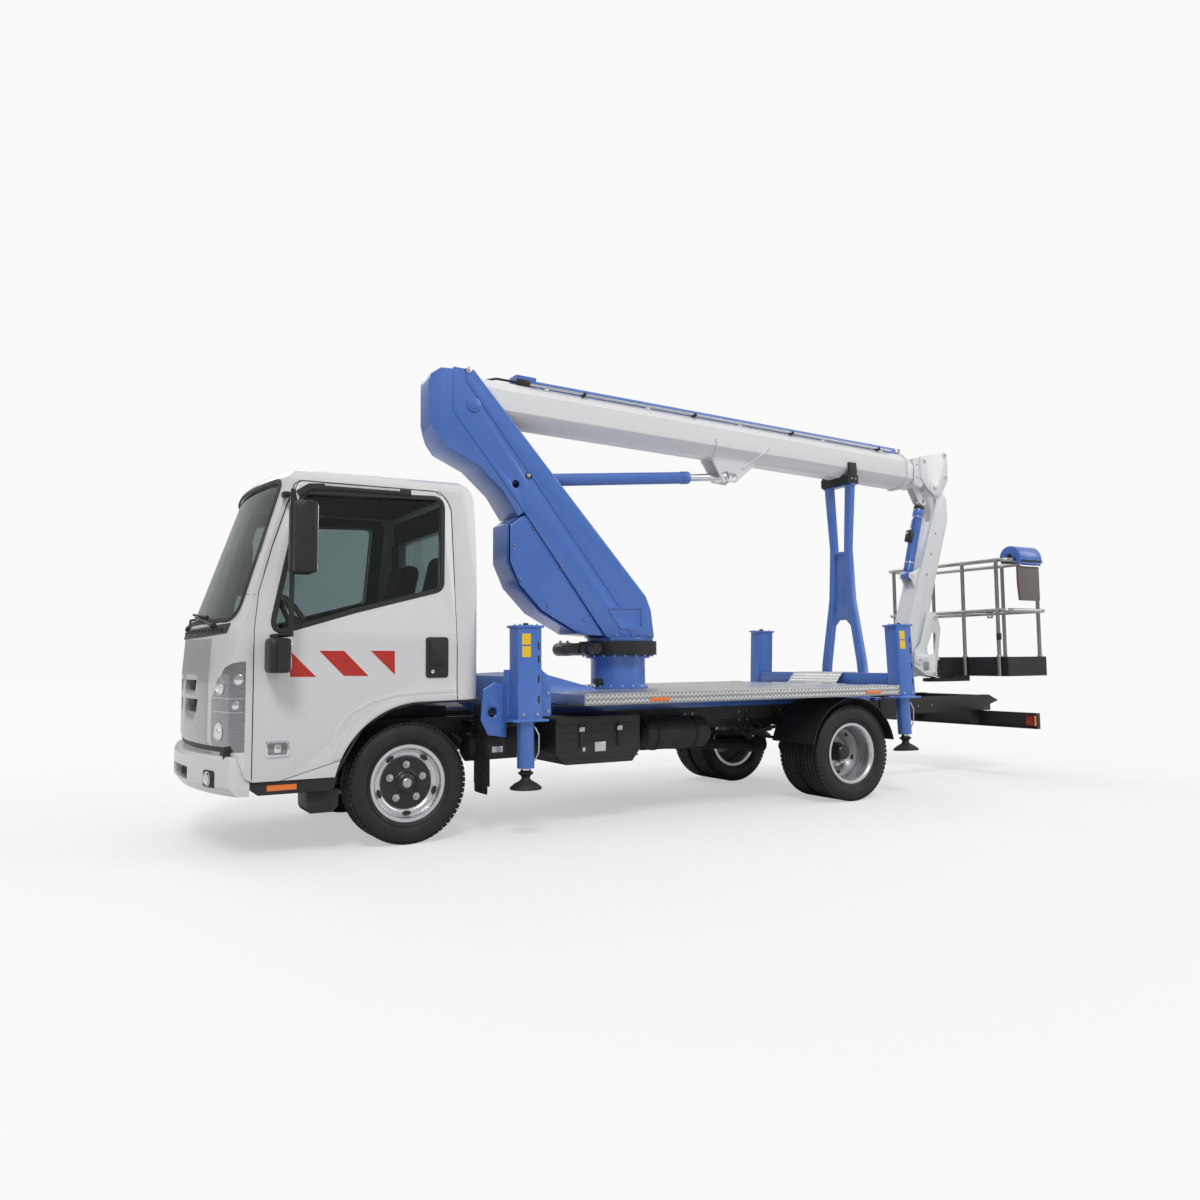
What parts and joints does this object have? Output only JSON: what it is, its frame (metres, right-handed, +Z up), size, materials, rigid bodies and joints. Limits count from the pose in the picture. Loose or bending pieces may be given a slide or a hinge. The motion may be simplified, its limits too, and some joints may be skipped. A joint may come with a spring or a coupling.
{
  "type": "cherry picker truck",
  "caption": "Cab-over light truck carrying a slewing telescopic boom with a folding jib, a turning work basket and stabiliser legs.",
  "frame": {"origin": "on the road, under the middle of the truck's length and width, legs raised and boom stowed", "axes": "+X forwards, from the basket at the tail to the cab; +Y to the truck's left; +Z up"},
  "size_m": [7.167, 2.16, 3.1081],
  "materials": {
    "cab_paint": "gloss",
    "blue_paint": "satin gloss",
    "chassis_paint": "satin",
    "grey_paint": "satin",
    "white_paint": "satin gloss",
    "black_plastic": "matte grained",
    "grey_plastic": "satin",
    "tyre": "matte",
    "rim": "silver satin",
    "steel": "bright",
    "chrome": "polished",
    "aluminium": "brushed",
    "iron": "rough",
    "glass": "clear tinted",
    "lamp": "clear",
    "rubber": "matte",
    "fabric": "woven"
  },
  "bodies": {
    "truck": {"chassis_frame": "chassis_paint", "under_run_bar": "chassis_paint", "front_axle": "iron", "rear_axle": "iron", "engine_block": "iron", "side_boxes": "black_plastic", "mudguards": "black_plastic", "cab_shell": "cab_paint", "nose_panel": "grey_plastic", "bumper": "cab_paint", "headlamps": "lamp", "cab_glass": "glass", "dashboard": "black_plastic", "seats": "fabric", "subframe": "blue_paint", "outriggers": "blue_paint", "deck": "aluminium", "boom_rest": "blue_paint", "rest_pad": "rubber", "pedestal": "blue_paint", "slew_drive": "chassis_paint"},
    "door_left": {"door_left": "cab_paint", "door_glass_left": "glass", "mirror_left": "black_plastic"},
    "knuckle_left": {"knuckle_left": "iron"},
    "wheel_front_left": {"front_tyre_left": "tyre", "front_rim_left": "rim"},
    "wheels_rear_left": {"rear_tyres_left": "tyre", "rear_rims_left": "rim"},
    "door_right": {"door_right": "cab_paint", "door_glass_right": "glass", "mirror_right": "black_plastic"},
    "knuckle_right": {"knuckle_right": "iron"},
    "wheel_front_right": {"front_tyre_right": "tyre", "front_rim_right": "rim"},
    "wheels_rear_right": {"rear_tyres_right": "tyre", "rear_rims_right": "rim"},
    "leg_fl": {"leg_foot_fl": "steel"},
    "leg_fr": {"leg_foot_fr": "steel"},
    "leg_rl": {"leg_foot_rl": "steel"},
    "leg_rr": {"leg_foot_rr": "steel"},
    "turret": {"tower": "blue_paint", "tower_cover": "blue_paint"},
    "boom_base": {"boom_base": "white_paint", "extension_cylinder": "blue_paint"},
    "boom_stage_1": {"boom_stage_1": "white_paint", "extension_rod": "chrome"},
    "boom_stage_2": {"boom_stage_2": "white_paint"},
    "boom_stage_3": {"boom_stage_3": "white_paint"},
    "jib": {"jib": "white_paint"},
    "level_link": {"level_link": "white_paint"},
    "basket_arm": {"basket_arm": "white_paint"},
    "basket": {"basket_frame": "aluminium", "basket_floor": "aluminium", "control_box": "blue_paint"},
    "lift_barrel": {"lift_barrel": "blue_paint"},
    "lift_rod": {"lift_rod": "chrome"},
    "jib_barrel": {"jib_barrel": "blue_paint"},
    "jib_rod": {"jib_rod": "chrome"}
  },
  "joints": [
    {"name": "door_left_hinge", "type": "hinge", "parent": "truck", "child": "door_left", "pos_m": [3.3025, 0.871, 1.2], "axis": [0, 0, -1], "range_deg": [0, 68]},
    {"name": "steer_left", "type": "hinge", "parent": "truck", "child": "knuckle_left", "pos_m": [2.4185, 0.56, 0.35], "axis": [0, 0, 1], "range_deg": [-35, 35]},
    {"name": "wheel_front_left_spin", "type": "hinge", "parent": "knuckle_left", "child": "wheel_front_left", "pos_m": [2.4185, 0.6975, 0.35], "axis": [0, 1, 0], "continuous": true},
    {"name": "wheels_rear_left_spin", "type": "hinge", "parent": "truck", "child": "wheels_rear_left", "pos_m": [-0.9315, 0.7125, 0.35], "axis": [0, 1, 0], "continuous": true},
    {"name": "door_right_hinge", "type": "hinge", "parent": "truck", "child": "door_right", "pos_m": [3.3025, -0.871, 1.2], "axis": [0, 0, 1], "range_deg": [0, 68]},
    {"name": "steer_right", "type": "hinge", "parent": "truck", "child": "knuckle_right", "pos_m": [2.4185, -0.56, 0.35], "axis": [0, 0, 1], "range_deg": [-35, 35]},
    {"name": "wheel_front_right_spin", "type": "hinge", "parent": "knuckle_right", "child": "wheel_front_right", "pos_m": [2.4185, -0.6975, 0.35], "axis": [0, 1, 0], "continuous": true},
    {"name": "wheels_rear_right_spin", "type": "hinge", "parent": "truck", "child": "wheels_rear_right", "pos_m": [-0.9315, -0.7125, 0.35], "axis": [0, 1, 0], "continuous": true},
    {"name": "leg_fl_slide", "type": "slide", "parent": "truck", "child": "leg_fl", "axis": [0, 0, -1], "range_m": [0, 0.43]},
    {"name": "leg_fr_slide", "type": "slide", "parent": "truck", "child": "leg_fr", "axis": [0, 0, -1], "range_m": [0, 0.43]},
    {"name": "leg_rl_slide", "type": "slide", "parent": "truck", "child": "leg_rl", "axis": [0, 0.0523, -0.9986], "range_m": [0, 0.43]},
    {"name": "leg_rr_slide", "type": "slide", "parent": "truck", "child": "leg_rr", "axis": [0, -0.0523, -0.9986], "range_m": [0, 0.43]},
    {"name": "turret_slew", "type": "hinge", "parent": "truck", "child": "turret", "pos_m": [0.5365, 0, 1.19], "axis": [0, 0, 1], "range_deg": [0, 360]},
    {"name": "boom_lift", "type": "hinge", "parent": "turret", "child": "boom_base", "pos_m": [1.7686, 0, 2.8165], "axis": [0, 1, 0], "range_deg": [0, 75]},
    {"name": "boom_extend_1", "type": "slide", "parent": "boom_base", "child": "boom_stage_1", "axis": [-0.9994, 0, -0.0349], "range_m": [0, 3.1]},
    {"name": "boom_extend_2", "type": "slide", "parent": "boom_stage_1", "child": "boom_stage_2", "axis": [-0.9994, 0, -0.0349], "range_m": [0, 3.1]},
    {"name": "boom_extend_3", "type": "slide", "parent": "boom_stage_2", "child": "boom_stage_3", "axis": [-0.9994, 0, -0.0349], "range_m": [0, 3.1]},
    {"name": "jib_fold", "type": "hinge", "parent": "boom_stage_3", "child": "jib", "pos_m": [-2.8115, 0, 2.615], "axis": [0, 1, 0], "range_deg": [0, 120]},
    {"name": "level_with_boom", "type": "hinge", "parent": "jib", "child": "level_link", "pos_m": [-2.5395, 0, 1.03], "axis": [0, 1, 0], "range_deg": [-75, 0]},
    {"name": "level_with_jib", "type": "hinge", "parent": "level_link", "child": "basket_arm", "pos_m": [-2.5395, 0, 1.03], "axis": [0, 1, 0], "range_deg": [-120, 0]},
    {"name": "basket_turn", "type": "hinge", "parent": "basket_arm", "child": "basket", "pos_m": [-2.8435, 0, 0.95], "axis": [0, 0, 1], "range_deg": [-90, 90]},
    {"name": "lift_barrel_tilt", "type": "hinge", "parent": "turret", "child": "lift_barrel", "pos_m": [1.3535, 0, 2.349], "axis": [0, 1, 0], "range_deg": [0, 75]},
    {"name": "lift_rod_slide", "type": "slide", "parent": "lift_barrel", "child": "lift_rod", "axis": [-0.9951, 0, 0.0993], "range_m": [0, 0.7659]},
    {"name": "jib_barrel_tilt", "type": "hinge", "parent": "jib", "child": "jib_barrel", "pos_m": [-2.5565, 0, 1.8], "axis": [0, 1, 0], "range_deg": [0, 6.47]},
    {"name": "jib_rod_slide", "type": "slide", "parent": "jib_barrel", "child": "jib_rod", "axis": [-0.2701, 0, 0.9628], "range_m": [0, 0.1836]}
  ],
  "couplings": [
    {"joint": "steer_right", "follows": "steer_left", "ratio": 1},
    {"joint": "boom_extend_2", "follows": "boom_extend_1", "ratio": 1},
    {"joint": "boom_extend_3", "follows": "boom_extend_1", "ratio": 1},
    {"joint": "level_with_boom", "follows": "boom_lift", "ratio": -1},
    {"joint": "level_with_jib", "follows": "jib_fold", "ratio": -1},
    {"joint": "lift_barrel_tilt", "follows": "boom_lift", "ratio": 1},
    {"joint": "lift_rod_slide", "follows": "boom_lift", "m_per_rad": 0.585},
    {"joint": "jib_barrel_tilt", "follows": "jib_fold", "ratio": 0.0539},
    {"joint": "jib_rod_slide", "follows": "jib_fold", "m_per_rad": 0.0876}
  ]
}
